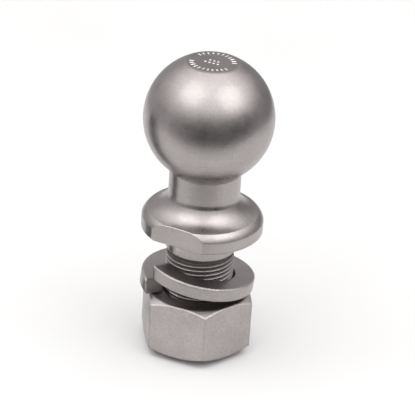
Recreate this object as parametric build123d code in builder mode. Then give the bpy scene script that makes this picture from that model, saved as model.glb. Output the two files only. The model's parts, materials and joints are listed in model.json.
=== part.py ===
"""Threaded-shank hitch ball with its lock washer and hex nut.

Frame: millimetres, +Z up along the shank axis. The origin is the centre of the flange's
underside, the seat that rests on a drawbar. The wrench flats face -Y and +Y.
Angles called azimuth are measured from -Y towards +X, seen from above.
"""
from build123d import *
from math import atan, ceil, cos, degrees, floor, radians, sin, sqrt, tan
import os

os.makedirs("parts", exist_ok=True)

INCH = 25.4

# Ball and neck
ball_dia = (2 + 5 / 16) * INCH
ball_centre_z = 54.3
top_flat_dia = 24.3
top_edge_round = 0.8
neck_dia = 32.5
neck_line_z = 29.4
neck_line_depth = 0.18
neck_fillet = 2.1

# Flange: a hollow flare from the neck, a rounded rim and a straight wall
flange_dia = 55.5
flange_wall_top_z = 5.7
flare_top_r = 16.7
flare_top_z = 16.2
flare_edge_r = 25.3
flare_edge_z = 9.0
rim_start_slope = 38.0
seat_edge_break = 0.5
wrench_flat_af = (1 + 15 / 16) * INCH

# Shank and thread, 1-1/4 inch, 12 threads to the inch
shank_dia = 1.25 * INCH
plain_length = 10.3
shank_length = (2 + 3 / 8) * INCH
pitch = INCH / 12
relief_width = 1.7
relief_r = 14.35
end_chamfer = 1.9
thread_clearance = 0.15
stud_crest_r = shank_dia / 2 - 0.12
stud_root_r = 14.45
nut_crest_r = 14.68
nut_root_r = 15.97
thread_overlap = 0.15

# Lock washer: left-hand helix, resting tipped on the nut
washer_inner_r = 16.8
washer_outer_r = 26.0
washer_thickness = 6.3
washer_rise = 9.7
washer_gap_angle = 4.0
washer_cut_slant = 20.0
washer_cut_depth = 4.0
washer_high_end_azimuth = -30.4
washer_tip = 3.1
washer_low_side_azimuth = 134.3
washer_edge_round = 0.7
washer_shift = 0.35
washer_seat_gap = 0.04

# Hex nut, 1-1/4 inch
nut_af = 1.85 * INCH
nut_height = 26.5
nut_top_z = -31.1
nut_corner_azimuth = 35.2
nut_chamfer_circle_r = 23.35
nut_chamfer_angle = 30.0
nut_countersink_r = 16.6

# Stamped marks on the top flat
mark_depth = 0.3
mark_ring_r = 9.4
mark_size = (0.75, 2.1)
mark_step = 13.0
marks_per_arc = 11
pip_r = 0.55
pip_spacing = 2.0

ball_r = ball_dia / 2
neck_r = neck_dia / 2
flange_r = flange_dia / 2
shank_r = shank_dia / 2
top_flat_r = top_flat_dia / 2
top_flat_z = ball_centre_z + sqrt(ball_r**2 - top_flat_r**2)
neck_top_z = ball_centre_z - sqrt(ball_r**2 - neck_r**2)
thread_top_z = -plain_length - relief_width
pitch_r = shank_r - 3 * sqrt(3) / 16 * pitch


def direction(azimuth):
    """Unit vector of an azimuth, level."""
    return Vector(sin(radians(azimuth)), -cos(radians(azimuth)), 0)


def ridge_half_width(radius, slack):
    """Half the axial width of a 60 degree thread ridge at a radius, less a slack."""
    return pitch / 4 - (radius - pitch_r) * tan(radians(30)) - slack


def thread_ridge(inner_r, outer_r, slack, bottom_z, top_z):
    """Helical ridge of a right-hand thread past two heights. It meets azimuth 90 at whole pitches."""
    first_turn = floor(bottom_z / pitch)
    height = (ceil(top_z / pitch) - first_turn) * pitch

    def rail(radius, side):
        z = first_turn * pitch + side * ridge_half_width(radius, slack)
        return Edge.make_helix(pitch, height, radius, center=(0, 0, z))

    rails = [rail(inner_r, -1), rail(outer_r, -1), rail(outer_r, 1), rail(inner_r, 1)]
    sides = [
        Face.make_surface_from_curves(near, far)
        for near, far in zip(rails, rails[1:] + rails[:1])
    ]
    caps = [Face(Wire.make_polygon([edge @ end for edge in rails])) for end in (0, 1)]
    return Solid(Shell(sides + caps))


# Threaded length of the stud, trimmed to a chamfered end and a run-out below the relief
with BuildPart() as stud_thread:
    with Locations((0, 0, thread_top_z + 0.5)):
        Cylinder(stud_root_r, shank_length, align=(Align.CENTER, Align.CENTER, Align.MAX))
    add(
        thread_ridge(
            stud_root_r - thread_overlap, stud_crest_r, thread_clearance / 2,
            -shank_length, thread_top_z,
        )
    )
    with BuildSketch(Plane.XZ):
        with BuildLine():
            Polyline(
                (0, thread_top_z + 0.5),
                (relief_r, thread_top_z + 0.5),
                (relief_r, thread_top_z),
                (shank_r, thread_top_z - 1.2),
                (shank_r, end_chamfer - shank_length),
                (shank_r - end_chamfer, -shank_length),
                (0, -shank_length),
                close=True,
            )
        make_face()
    revolve(axis=Axis.Z, mode=Mode.INTERSECT)

# One forging: ball, neck, flange and shank
with BuildPart() as ball_stud:
    with BuildSketch(Plane.XZ):
        with BuildLine():
            flat_edge = (top_flat_r - top_edge_round, top_flat_z)
            edge_r = top_flat_r + 0.9 * top_edge_round
            ball_edge = (edge_r, ball_centre_z + sqrt(ball_r**2 - edge_r**2))
            Line((0, top_flat_z), flat_edge)
            TangentArc(flat_edge, ball_edge, tangent=(1, 0))
            ball_arc = ThreePointArc(ball_edge, (ball_r, ball_centre_z), (neck_r, neck_top_z))
            neck = Polyline(
                ball_arc @ 1,
                (neck_r, neck_line_z + 0.35),
                (neck_r - neck_line_depth, neck_line_z),
                (neck_r, neck_line_z - 0.35),
                (neck_r, flare_top_z + neck_fillet),
            )
            foot = TangentArc(neck @ 1, (flare_top_r, flare_top_z), tangent=(0, -1))
            flare = TangentArc(foot @ 1, (flare_edge_r, flare_edge_z), tangent=foot % 1)
            rim_start = (cos(radians(rim_start_slope)), -sin(radians(rim_start_slope)))
            rim = TangentArc(flare @ 1, (flange_r, flange_wall_top_z), tangent=rim_start)
            Polyline(
                rim @ 1,
                (flange_r, seat_edge_break),
                (flange_r - seat_edge_break, 0),
                (shank_r + 0.4, 0),
                (shank_r, -0.4),
                (shank_r, 0.6 - plain_length),
                (shank_r - 0.6, -plain_length),
                (relief_r, -plain_length),
                (relief_r, thread_top_z + 0.5),
                (0, thread_top_z + 0.5),
                (0, top_flat_z),
            )
        make_face()
    revolve(axis=Axis.Z)

    # Two flats for a wrench, across the flange
    with BuildSketch(Plane.XY):
        with Locations((0, -wrench_flat_af / 2 - 10), (0, wrench_flat_af / 2 + 10)):
            Rectangle(2 * flange_dia, 20)
    extrude(amount=flare_top_z, mode=Mode.SUBTRACT)

    # Stamped marks: two arcs of ticks round the rim and two rows of pips in the middle
    with BuildSketch(Plane.XY.offset(top_flat_z)):
        for arc_start in (-155, 25):
            with PolarLocations(
                mark_ring_r, marks_per_arc, start_angle=arc_start,
                angular_range=mark_step * (marks_per_arc - 1), endpoint=True,
            ):
                Rectangle(mark_size[1], mark_size[0])
        with Locations((0, 1.3)):
            with GridLocations(pip_spacing, 1, 3, 1):
                Circle(pip_r)
        with Locations((0, -1.3)):
            with GridLocations(pip_spacing, 1, 4, 1):
                Circle(pip_r)
    extrude(amount=-mark_depth, mode=Mode.SUBTRACT)

    add(stud_thread.part)

ball_stud.part.label = "ball_stud"
export_step(ball_stud.part, "parts/ball_stud.step")

# Split helical washer, swept upright with its low end on +X
washer_turn = 360 - washer_gap_angle
washer_mid_r = (washer_inner_r + washer_outer_r) / 2
with BuildPart() as upright_washer:
    with BuildLine() as coil:
        Helix(
            pitch=washer_rise * 360 / washer_turn, height=washer_rise,
            radius=washer_mid_r, lefthand=True,
        )
    with BuildLine() as coil_axis:
        Line((0, 0, 0), (0, 0, washer_rise))
    with BuildSketch(Plane(origin=coil.line @ 0, x_dir=(1, 0, 0), z_dir=(0, -1, 0))) as bar:
        Rectangle(washer_outer_r - washer_inner_r, washer_thickness)
        fillet(bar.vertices(), washer_edge_round)
    sweep(path=coil.line, binormal=coil_axis.line.edges()[0])

    # Slanted split: the low end reaches out at its foot, the high end overhangs at its top
    for end, turn, side, reach in ((0, 0, -1, Align.MIN), (1, -washer_turn, 1, Align.MAX)):
        pivot = coil.line @ end + Vector(0, 0, side * washer_thickness / 2)
        with Locations(Location(pivot, (0, 0, turn)) * Location((0, 0, 0), (washer_cut_slant, 0, 0))):
            Box(
                2 * (washer_outer_r - washer_inner_r), washer_cut_depth, 2.4 * washer_thickness,
                align=(Align.CENTER, reach, Align.CENTER), mode=Mode.SUBTRACT,
            )

# The washer turned to its split, tipped about its middle and set down on the nut
tip_angle = degrees(atan(washer_tip / washer_outer_r))
tip_axis = Axis((0, 0, 0), Vector(0, 0, 1).cross(direction(washer_low_side_azimuth)))
turned_washer = upright_washer.part.moved(Location((0, 0, -washer_rise / 2)))
turned_washer = turned_washer.rotate(Axis.Z, washer_high_end_azimuth - 90 - washer_gap_angle)
turned_washer = turned_washer.rotate(tip_axis, tip_angle)
with BuildPart() as lock_washer:
    lift = nut_top_z + washer_seat_gap - turned_washer.bounding_box().min.Z
    with Locations(direction(washer_low_side_azimuth) * -washer_shift + Vector(0, 0, lift)):
        add(turned_washer)
lock_washer.part.label = "lock_washer"
export_step(lock_washer.part, "parts/lock_washer.step")

# Tapped bore of the nut
nut_bottom_z = nut_top_z - nut_height
with BuildPart() as tapped_bore:
    with Locations((0, 0, nut_top_z + pitch)):
        Cylinder(
            nut_crest_r, nut_height + 2 * pitch, align=(Align.CENTER, Align.CENTER, Align.MAX)
        )
    add(
        thread_ridge(
            nut_crest_r - thread_overlap, nut_root_r, -thread_clearance / 2,
            nut_bottom_z - pitch / 2, nut_top_z + pitch / 2,
        )
    )

# Hex nut, chamfered and countersunk at both ends
nut_corner_r = nut_af / sqrt(3)
chamfer_drop = (nut_corner_r + 1 - nut_chamfer_circle_r) * tan(radians(nut_chamfer_angle))
countersink_depth = nut_countersink_r - nut_crest_r
with BuildPart() as hex_nut:
    with BuildSketch(Plane.XY.offset(nut_bottom_z)):
        RegularPolygon(nut_af / 2, 6, major_radius=False, rotation=nut_corner_azimuth - 90)
    extrude(amount=nut_height)
    with BuildSketch(Plane.XZ):
        with BuildLine():
            Polyline(
                (0, nut_top_z),
                (nut_chamfer_circle_r, nut_top_z),
                (nut_corner_r + 1, nut_top_z - chamfer_drop),
                (nut_corner_r + 1, nut_bottom_z + chamfer_drop),
                (nut_chamfer_circle_r, nut_bottom_z),
                (0, nut_bottom_z),
                close=True,
            )
        make_face()
    revolve(axis=Axis.Z, mode=Mode.INTERSECT)
    add(tapped_bore.part, mode=Mode.SUBTRACT)
    with BuildSketch(Plane.XZ):
        with BuildLine():
            Polyline(
                (0, nut_top_z + 1),
                (nut_countersink_r + 1, nut_top_z + 1),
                (nut_countersink_r, nut_top_z),
                (nut_crest_r - 0.3, nut_top_z - countersink_depth),
                (0, nut_top_z - countersink_depth),
                close=True,
            )
        make_face()
        with BuildLine():
            Polyline(
                (0, nut_bottom_z - 1),
                (nut_countersink_r + 1, nut_bottom_z - 1),
                (nut_countersink_r, nut_bottom_z),
                (nut_crest_r - 0.3, nut_bottom_z + countersink_depth),
                (0, nut_bottom_z + countersink_depth),
                close=True,
            )
        make_face()
    revolve(axis=Axis.Z, mode=Mode.SUBTRACT)
hex_nut.part.label = "hex_nut"
export_step(hex_nut.part, "parts/hex_nut.step")
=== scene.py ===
"""Looks for the threaded-shank hitch ball: plated steel finishes, a pale floor, soft light, a camera.

Metres, in the CAD frame: +Z up the shank axis, origin at the flange's underside.
"""
import bpy
import json
from math import cos, pi, radians, sin
from mathutils import Matrix, Vector
from types import SimpleNamespace


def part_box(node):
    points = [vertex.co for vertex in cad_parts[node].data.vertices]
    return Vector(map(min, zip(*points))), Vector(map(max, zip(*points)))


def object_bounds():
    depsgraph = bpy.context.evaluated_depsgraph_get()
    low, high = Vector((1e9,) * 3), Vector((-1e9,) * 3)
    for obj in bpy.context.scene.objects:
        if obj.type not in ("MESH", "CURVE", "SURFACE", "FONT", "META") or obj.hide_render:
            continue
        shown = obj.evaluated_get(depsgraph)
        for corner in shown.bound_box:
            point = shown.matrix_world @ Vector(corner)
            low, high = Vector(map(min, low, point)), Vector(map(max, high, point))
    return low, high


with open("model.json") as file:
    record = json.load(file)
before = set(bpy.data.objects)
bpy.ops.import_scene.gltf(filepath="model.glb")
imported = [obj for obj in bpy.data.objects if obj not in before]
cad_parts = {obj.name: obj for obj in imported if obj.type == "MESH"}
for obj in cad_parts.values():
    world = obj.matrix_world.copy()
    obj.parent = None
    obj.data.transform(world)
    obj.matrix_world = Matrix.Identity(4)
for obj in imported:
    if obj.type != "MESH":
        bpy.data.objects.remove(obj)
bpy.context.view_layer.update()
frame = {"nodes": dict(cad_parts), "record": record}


floor_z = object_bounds()[0].z
mounts = {mount["name"]: mount for mount in frame["record"]["mounts"]}
ball_centre = Vector(mounts["ball"]["pos_m"])
shank_radius = mounts["shank"]["dims"]["r_mm"] / 1000

# Camera: seen from above, a little to the right of the wrench flat, with a slight roll, in degrees.
# Its aim is measured in the plane of the picture, to the right of the ball's centre and above it.
CAMERA_AZIMUTH = 25.6
CAMERA_ELEVATION = 27.04
CAMERA_ROLL = 3.92
CAMERA_DISTANCE = 0.8811
AIM_RIGHT, AIM_UP = -0.00074, -0.0398
LENS_MM, SENSOR_MM = 172.7, 36.0

# Finish: linear colours of the wear, films and specks, and of painted light: a painted highlight on worn
# edges that look up, painted shade on the other edges, and painted shade with the film in the thread
# roots
WORN_EDGE_AND_HIGHLIGHT = (0.92, 0.87, 0.85, 1.0)
SHADED_EDGE = (0.14, 0.12, 0.118, 1.0)
SCRATCHED = (0.64, 0.59, 0.58, 1.0)
PALE_SPECKS = (0.66, 0.62, 0.61, 1.0)
DARK_SPECKS = (0.16, 0.14, 0.135, 1.0)
DULL_FLAT = (0.20, 0.18, 0.178, 1.0)
STAMPED = (0.95, 0.92, 0.90, 1.0)
ROOT_FILM_AND_SHADE = (0.045, 0.04, 0.038, 1.0)

# The film and painted shade in the threads: heights where they start and are full, and how much nearer
# the axis they are full
FILM_AND_SHADE_START, FILM_AND_SHADE_FULL = -0.0100, -0.0106
FILM_AND_SHADE_DEPTH = 0.0013

# The dull flat on top: radii where it ends and is full, and depths below its face where it ends and
# is full, which take in the marks. A stamped mark starts and is full at lesser depths.
FLAT_END_RADIUS, FLAT_FULL_RADIUS = 0.0118, 0.0115
FLAT_END_DEPTH, FLAT_FULL_DEPTH = 0.0006, 0.0005
MARK_START_DEPTH, MARK_FULL_DEPTH = 0.0001, 0.0002

# Floor: how far it and the mirrored card reach, how far toward the camera the card's painted shade starts
# and is full, and how far above the floor the card and the cloth strip lie
FLOOR_REACH = 0.50
CARD_REACH_AHEAD = 0.24
CARD_DARKENS_FROM, CARD_DARK_AT = 0.10, 0.22
# The darkest grey of the card's painted shade on the camera's side
CARD_DARK = (0.45, 0.45, 0.45, 1.0)
CARD_LIFT, STRIP_LIFT = 0.0005, 0.002


# ---------------------------------------------------------------- node helpers

class Nodes:
    """One node tree, with short names for the nodes used here."""

    def __init__(self, tree):
        self.tree = tree
        tree.nodes.clear()

    def add(self, kind, settings=None, **inputs):
        """A node with its settings, and its inputs by name with _ for a space."""
        node = self.tree.nodes.new(kind)
        for key, value in (settings or {}).items():
            setattr(node, key, value)
        for key, value in inputs.items():
            self.plug(node, key.replace("_", " "), value)
        return node

    def plug(self, node, name, value):
        """Sets an input, by name or number, to a value or links it to a socket."""
        socket = node.inputs[name]
        if isinstance(value, bpy.types.NodeSocket):
            self.tree.links.new(value, socket)
        else:
            socket.default_value = value

    def math(self, operation, *values, clamp=False):
        node = self.tree.nodes.new("ShaderNodeMath")
        node.operation = operation
        node.use_clamp = clamp
        for i, value in enumerate(values):
            self.plug(node, i, value)
        return node.outputs[0]

    def total(self, *values):
        """The sum of any number of values."""
        result = values[0]
        for value in values[1:]:
            result = self.math("ADD", result, value)
        return result

    def dot(self, a, b):
        node = self.add("ShaderNodeVectorMath", {"operation": "DOT_PRODUCT"})
        self.plug(node, 0, a)
        self.plug(node, 1, b)
        return node.outputs["Value"]

    def ramp(self, value, low, high, out_low=0.0, out_high=1.0, smooth=True):
        """A value taken from low..high to out_low..out_high, held outside."""
        node = self.tree.nodes.new("ShaderNodeMapRange")
        node.interpolation_type = "SMOOTHSTEP" if smooth else "LINEAR"
        for name, part in (("Value", value), ("From Min", low), ("From Max", high),
                           ("To Min", out_low), ("To Max", out_high)):
            self.plug(node, name, part)
        return node.outputs["Result"]

    def swing(self, value, low, high, amount):
        """A value taken from low..high to plus or minus an amount."""
        return self.ramp(value, low, high, -amount, amount)

    def noise(self, vector, scale, detail=2.0, roughness=0.5):
        """Noise with this many cells to the metre."""
        node = self.add("ShaderNodeTexNoise", Vector=vector, Scale=scale, Detail=detail,
                        Roughness=roughness)
        return node.outputs["Fac"]

    def stretched_noise(self, vector, scales, detail=3.0, roughness=0.6):
        """Noise with a different number of cells to the metre along each axis."""
        node = self.add("ShaderNodeMapping", Vector=vector, Scale=scales)
        return self.noise(node.outputs["Vector"], 1.0, detail, roughness)

    def mix(self, factor, a, b):
        """Colour a going over to colour b."""
        node = self.tree.nodes.new("ShaderNodeMix")
        node.data_type = "RGBA"
        for i, value in ((0, factor), (6, a), (7, b)):
            self.plug(node, i, value)
        return node.outputs[2]


def new_material(name):
    """An empty material, its nodes, and the point in the CAD frame."""
    material = bpy.data.materials.new(name)
    material.use_nodes = True
    nodes = Nodes(material.node_tree)
    return material, nodes, nodes.add("ShaderNodeTexCoord").outputs["Object"]


# ---------------------------------------------------------------- steel finish

def steel_patterns(nodes, point):
    """The patterns of the finish, from 0 to 1. Z is the axis of the lathe, so its lines vary along Z."""
    slanted = nodes.stretched_noise(point, (60.0, 1500.0, 210.0), 1.0, 0.5)
    cells = nodes.add("ShaderNodeTexVoronoi", Vector=point, Scale=620.0).outputs["Distance"]
    pitted = nodes.ramp(nodes.noise(point, 150.0), 0.52, 0.66)
    return SimpleNamespace(
        tone=nodes.noise(point, 110.0, 3.0, 0.55),
        cloud=nodes.noise(point, 34.0),
        fine=nodes.noise(point, 1200.0, 3.0, 0.7),
        grit=nodes.noise(point, 900.0, 3.0, 0.65),
        lathe=nodes.stretched_noise(point, (35.0, 35.0, 5200.0)),
        rings=nodes.stretched_noise(point, (8.0, 8.0, 1300.0)),
        streak=nodes.stretched_noise(point, (900.0, 900.0, 55.0)),
        scratch=nodes.ramp(slanted, 0.70, 0.76),
        pits=nodes.math("MULTIPLY", nodes.ramp(cells, 0.16, 0.07), pitted))


def edge_masks(nodes, edge_radius, grit):
    """The rounded normal, and where it leaves the face's own: edges that look up, which get wear and a
    painted highlight, and the others, which get painted shade.
    """
    rounded = nodes.add("ShaderNodeBevel", {"samples": 6}, Radius=edge_radius).outputs["Normal"]
    flat = nodes.add("ShaderNodeNewGeometry").outputs["Normal"]
    edge = nodes.ramp(nodes.dot(rounded, flat), 0.993, 0.91)
    edge = nodes.math("MULTIPLY", edge, nodes.ramp(grit, 0.30, 0.62, 0.55, 1.0))
    looks_up = nodes.ramp(nodes.add("ShaderNodeSeparateXYZ", Vector=rounded).outputs["Z"], 0.12, 0.35)
    looks_away = nodes.math("SUBTRACT", 1.0, looks_up)
    return rounded, nodes.math("MULTIPLY", edge, looks_up), nodes.math("MULTIPLY", edge, looks_away)


def stamped_flat(nodes, height, radius, top):
    """Masks of the flat on top, and of the marks stamped in it."""
    near_top = nodes.ramp(height, top - FLAT_END_DEPTH, top - FLAT_FULL_DEPTH)
    flat = nodes.math("MULTIPLY", near_top, nodes.ramp(radius, FLAT_END_RADIUS, FLAT_FULL_RADIUS))
    sunk = nodes.ramp(height, top - MARK_START_DEPTH, top - MARK_FULL_DEPTH)
    return flat, nodes.math("MULTIPLY", flat, sunk)


def plated_steel(name, tint, roughness, edge_radius, grain, turned, film_and_shade_radius, speckle, specks,
                 flat_top=None):
    """Satin plated steel, mottled and grainy, with specks, scratches, worn edges with a painted highlight
    where they look up and painted shade elsewhere, and thread roots dulled by a film and painted shade.

    grain is the relief of the grain and speckle its swing in tone, and turned is the strength of the
    lathe's lines. film_and_shade_radius is where the film and painted shade in the threads start, and 0
    leaves them out. flat_top is the height of a stamped flat.
    """
    material, nodes, point = new_material(name)
    split = nodes.add("ShaderNodeSeparateXYZ", Vector=point)
    x, y, height = (split.outputs[i] for i in range(3))
    radius = nodes.math("SQRT", nodes.math("ADD", nodes.math("MULTIPLY", x, x),
                                           nodes.math("MULTIPLY", y, y)))
    steel = steel_patterns(nodes, point)
    rounded, edge, corner = edge_masks(nodes, edge_radius, steel.grit)
    film_and_shade = nodes.math("MULTIPLY", nodes.ramp(radius, film_and_shade_radius, film_and_shade_radius - FILM_AND_SHADE_DEPTH),
                      nodes.ramp(height, FILM_AND_SHADE_START, FILM_AND_SHADE_FULL))

    light = nodes.total(
        nodes.swing(steel.tone, 0.3, 0.7, 0.055),
        nodes.swing(steel.cloud, 0.35, 0.65, 0.04),
        nodes.swing(steel.fine, 0.35, 0.65, speckle),
        nodes.swing(steel.streak, 0.35, 0.65, 0.015),
        nodes.swing(steel.rings, 0.35, 0.65, 0.04 * turned),
        0.5)
    dark = (*(part * 0.55 for part in tint), 1.0)
    pale = (*(part * 1.45 for part in tint), 1.0)
    colour = nodes.mix(light, dark, pale)

    # Wear and a painted highlight on edges that look up, painted shade on the other edges
    layers = [(edge, 0.9, WORN_EDGE_AND_HIGHLIGHT), (corner, 0.35, SHADED_EDGE), (steel.scratch, 0.22, SCRATCHED),
              (steel.pits, 0.4, specks)]
    if flat_top is not None:
        flat, stamped = stamped_flat(nodes, height, radius, flat_top)
        layers += [(flat, 0.30, DULL_FLAT), (stamped, 0.9, STAMPED)]
    # The film and painted shade in the thread roots
    layers.append((film_and_shade, 0.78, ROOT_FILM_AND_SHADE))
    for mask, strength, layer in layers:
        colour = nodes.mix(nodes.math("MULTIPLY", mask, strength), colour, layer)

    rough = nodes.total(
        roughness,
        nodes.ramp(steel.tone, 0.3, 0.7, -0.035, 0.045),
        nodes.swing(steel.grit, 0.35, 0.65, 0.03),
        nodes.math("MULTIPLY", steel.pits, 0.18),
        nodes.math("MULTIPLY", film_and_shade, 0.25))
    rough = nodes.math("SUBTRACT", rough, nodes.math("MULTIPLY", edge, 0.05), clamp=True)

    relief = nodes.total(
        nodes.math("MULTIPLY", steel.fine, grain),
        nodes.math("MULTIPLY", steel.lathe, turned),
        nodes.math("MULTIPLY", steel.scratch, -0.15))
    bump = nodes.add("ShaderNodeBump", Height=relief, Strength=0.35, Distance=0.00002, Normal=rounded)
    surface = nodes.add("ShaderNodeBsdfPrincipled", Base_Color=colour, Roughness=rough, Metallic=1.0,
                        Normal=bump.outputs["Normal"])
    nodes.add("ShaderNodeOutputMaterial", Surface=surface.outputs[0])
    return material


def wear(node, material):
    """Gives a CAD node its only material."""
    thing = frame["nodes"][node]
    thing.data.materials.clear()
    thing.data.materials.append(material)


wear("ball_stud", plated_steel(
    "satin_plated_forging", tint=(0.400, 0.370, 0.367), roughness=0.32, edge_radius=0.0006,
    grain=0.3, turned=0.6, film_and_shade_radius=shank_radius - 0.0001, speckle=0.045, specks=PALE_SPECKS,
    flat_top=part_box("ball_stud")[1].z))
wear("lock_washer", plated_steel(
    "satin_plated_spring_steel", tint=(0.393, 0.363, 0.360), roughness=0.34, edge_radius=0.0015,
    grain=0.5, turned=0.15, film_and_shade_radius=0.0, speckle=0.08, specks=DARK_SPECKS))
wear("hex_nut", plated_steel(
    "satin_plated_nut_steel", tint=(0.436, 0.404, 0.401), roughness=0.36, edge_radius=0.0012,
    grain=0.6, turned=0.0, film_and_shade_radius=shank_radius + 0.0002, speckle=0.10, specks=DARK_SPECKS))


# ---------------------------------------------------------------- floor and light

def direction(azimuth, elevation=0):
    """Unit vector of an azimuth from the camera's side and an elevation, both in degrees."""
    turn, rise = radians(CAMERA_AZIMUTH + azimuth), radians(elevation)
    return Vector((sin(turn) * cos(rise), -cos(turn) * cos(rise), sin(rise)))


def matte(name, darkest, palest, scale, shade=None):
    """Mottled grey cloth or paint. shade, if given, changes its colour by the point it is at."""
    material, nodes, point = new_material(name)
    mottle = nodes.ramp(nodes.noise(point, scale), 0.3, 0.7)
    colour = nodes.mix(mottle, (darkest, darkest, darkest, 1.0), (palest, palest, palest, 1.0))
    if shade is not None:
        colour = shade(nodes, point, colour)
    surface = nodes.add("ShaderNodeBsdfPrincipled", Base_Color=colour, Roughness=0.9)
    nodes.add("ShaderNodeOutputMaterial", Surface=surface.outputs[0])
    return material


def painted_shade_ahead(nodes, point, colour):
    """A colour that goes over to a darker grey on the camera's side, as painted shade."""
    ahead = nodes.dot(point, direction(0))
    return nodes.mix(nodes.ramp(ahead, CARD_DARKENS_FROM, CARD_DARK_AT), colour, CARD_DARK)


def disc(name, front, back, height, material):
    """A level disc of rings, reaching less far on the camera's side if front is less than back."""
    rings, sectors = 12, 96
    toward_camera, across = direction(0), direction(90)
    points, faces = [Vector((0, 0, height))], []
    for ring in range(1, rings + 1):
        for sector in range(sectors):
            angle = 2 * pi * sector / sectors
            reach = front if cos(angle) > 0 else back
            point = toward_camera * (cos(angle) * reach) + across * (sin(angle) * back)
            points.append(point * (ring / rings) + Vector((0, 0, height)))
    for sector in range(sectors):
        following = (sector + 1) % sectors
        faces.append((0, 1 + sector, 1 + following))
        for ring in range(rings - 1):
            inner, outer = 1 + ring * sectors, 1 + (ring + 1) * sectors
            faces.append((inner + sector, outer + sector, outer + following, inner + following))
    return staged(name, points, faces, material)


def staged(name, points, faces, material):
    """A piece of the studio, made from points and faces."""
    mesh = bpy.data.meshes.new(name)
    mesh.from_pydata(points, [], faces)
    mesh.materials.append(material)
    thing = bpy.data.objects.new(name, mesh)
    bpy.context.scene.collection.objects.link(thing)
    return thing


def only_in_reflections(thing):
    """Hides a piece from everything but the metal's reflections."""
    thing.visible_camera = False
    thing.visible_diffuse = False
    thing.visible_shadow = False


def pale_floor():
    """A pale table top for the eye, and a card in its place that the metal mirrors, with painted shade on
    the camera's side.
    """
    paint = matte("pale_floor", 0.71, 0.74, 6.0)
    disc("floor", FLOOR_REACH, FLOOR_REACH, floor_z, paint).visible_glossy = False
    card = matte("pale_card", 0.71, 0.74, 6.0, painted_shade_ahead)
    only_in_reflections(disc("floor_card", CARD_REACH_AHEAD, FLOOR_REACH, floor_z + CARD_LIFT, card))


def studio_world():
    """A white backdrop to the eye, and for the metal a soft dome over a darker horizon.

    The horizon is darkest in front, a little to the right, and lightest at the left and behind.
    """
    world = bpy.data.worlds.new("studio")
    bpy.context.scene.world = world
    world.use_nodes = True
    nodes = Nodes(world.node_tree)
    seen = nodes.add("ShaderNodeTexCoord").outputs["Generated"]
    height = nodes.add("ShaderNodeSeparateXYZ", Vector=seen).outputs["Z"]

    def toward(azimuth):
        """How far the direction seen points to an azimuth, from -1 to 1."""
        return nodes.dot(seen, direction(azimuth))

    horizon = nodes.ramp(toward(20), 0.2, 0.95, 0.30, 0.10)
    horizon = nodes.math("ADD", horizon, nodes.ramp(toward(-120), 0.0, 1.0, 0.0, 0.24, smooth=False))
    dome = nodes.ramp(height, 0.12, 0.80)
    dome_light = nodes.math("MULTIPLY", nodes.ramp(toward(0), -0.85, -0.10, 0.72, 1.83), dome)
    low_light = nodes.math("MULTIPLY", nodes.math("SUBTRACT", 1.0, dome), horizon)
    glow = nodes.math("ADD", low_light, dome_light)
    lit = nodes.add("ShaderNodeBackground", Strength=glow, Color=(1.0, 0.99, 0.985, 1.0))
    backdrop = nodes.add("ShaderNodeBackground", Strength=1.0, Color=(1.0, 1.0, 1.0, 1.0))
    both = nodes.add("ShaderNodeMixShader")
    nodes.plug(both, 0, nodes.add("ShaderNodeLightPath").outputs["Is Camera Ray"])
    nodes.plug(both, 1, lit.outputs[0])
    nodes.plug(both, 2, backdrop.outputs[0])
    nodes.add("ShaderNodeOutputWorld", Surface=both.outputs[0])


def flag(name, first_azimuth, last_azimuth, near, far, darkest, palest):
    """A cloth strip on the floor between two azimuths, which draws a dark streak down the metal."""
    sweep = ((first_azimuth, near), (first_azimuth, far), (last_azimuth, far), (last_azimuth, near))
    lift = Vector((0, 0, floor_z + STRIP_LIFT))
    points = [direction(azimuth) * reach + lift for azimuth, reach in sweep]
    cloth = matte(name, darkest, palest, 300.0)
    only_in_reflections(staged(name, points, [(0, 1, 2, 3)], cloth))


def softbox(name, azimuth, elevation, distance, size, power):
    """A square soft light aimed at the ball."""
    away = direction(azimuth, elevation)
    light = bpy.data.lights.new(name, "AREA")
    light.shape = "SQUARE"
    light.size = size
    light.energy = power
    lamp = bpy.data.objects.new(name, light)
    lamp.location = ball_centre + away * distance
    lamp.rotation_euler = away.to_track_quat("Z", "Y").to_euler()
    lamp.visible_camera = False
    bpy.context.scene.collection.objects.link(lamp)


def aim_camera():
    """The camera at the photograph's angle, aimed below the ball's centre."""
    back, level, roll = direction(0, CAMERA_ELEVATION), direction(90), radians(CAMERA_ROLL)
    right = cos(roll) * level + sin(roll) * back.cross(level)
    up = back.cross(right)
    place = ball_centre + AIM_RIGHT * right + AIM_UP * up + CAMERA_DISTANCE * back
    data = bpy.data.cameras.new("camera")
    data.lens = LENS_MM
    data.sensor_width = SENSOR_MM
    data.clip_start = 0.01
    camera = bpy.data.objects.new("camera", data)
    bpy.context.scene.collection.objects.link(camera)
    rotation = Matrix((right, up, back)).transposed().to_4x4()
    camera.matrix_world = Matrix.Translation(place) @ rotation
    bpy.context.scene.camera = camera


pale_floor()
studio_world()
flag("black_flag", first_azimuth=-119, last_azimuth=-93, near=0.045, far=0.60, darkest=0.015, palest=0.03)
softbox("softbox_left", azimuth=-54, elevation=55, distance=0.75, size=0.50, power=0.78)
softbox("softbox_right", azimuth=56, elevation=49, distance=0.75, size=0.50, power=0.78)
aim_camera()
bpy.context.scene.view_settings.view_transform = "Standard"
